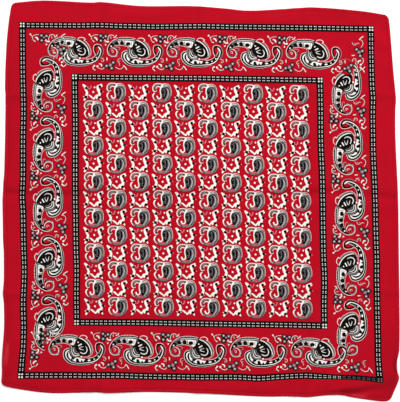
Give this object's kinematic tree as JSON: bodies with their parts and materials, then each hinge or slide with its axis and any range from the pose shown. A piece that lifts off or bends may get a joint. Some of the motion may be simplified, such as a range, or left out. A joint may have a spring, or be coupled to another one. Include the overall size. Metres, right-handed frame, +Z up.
{
  "type": "bandana",
  "caption": "Square cotton bandana laid out flat, with a turned hem on each side, soft storage folds and a rippled corner; worn as a neckerchief or headscarf.",
  "frame": {"origin": "middle of the bottom of the bounding box, on the surface that the cloth lies on", "axes": "+Z up, away from the surface; +Y towards the top side of the laid cloth; +X to its right"},
  "size_m": [0.5573, 0.5608, 0.0056],
  "materials": {
    "printed_cotton": "matt plain-weave cotton, printed black and white on red",
    "hem_cotton": "matt plain-weave cotton, turned twice and lockstitched",
    "print_white": "matt white textile print",
    "print_black": "matt black textile print",
    "print_grey": "matt halftone grey of black over white print",
    "sewing_thread": "red polyester sewing thread, slight sheen"
  },
  "bodies": {
    "root": {"cloth_panel": "printed_cotton", "hem_top": "hem_cotton", "hem_right": "hem_cotton", "hem_bottom": "hem_cotton", "hem_left": "hem_cotton"}
  },
  "joints": []
}
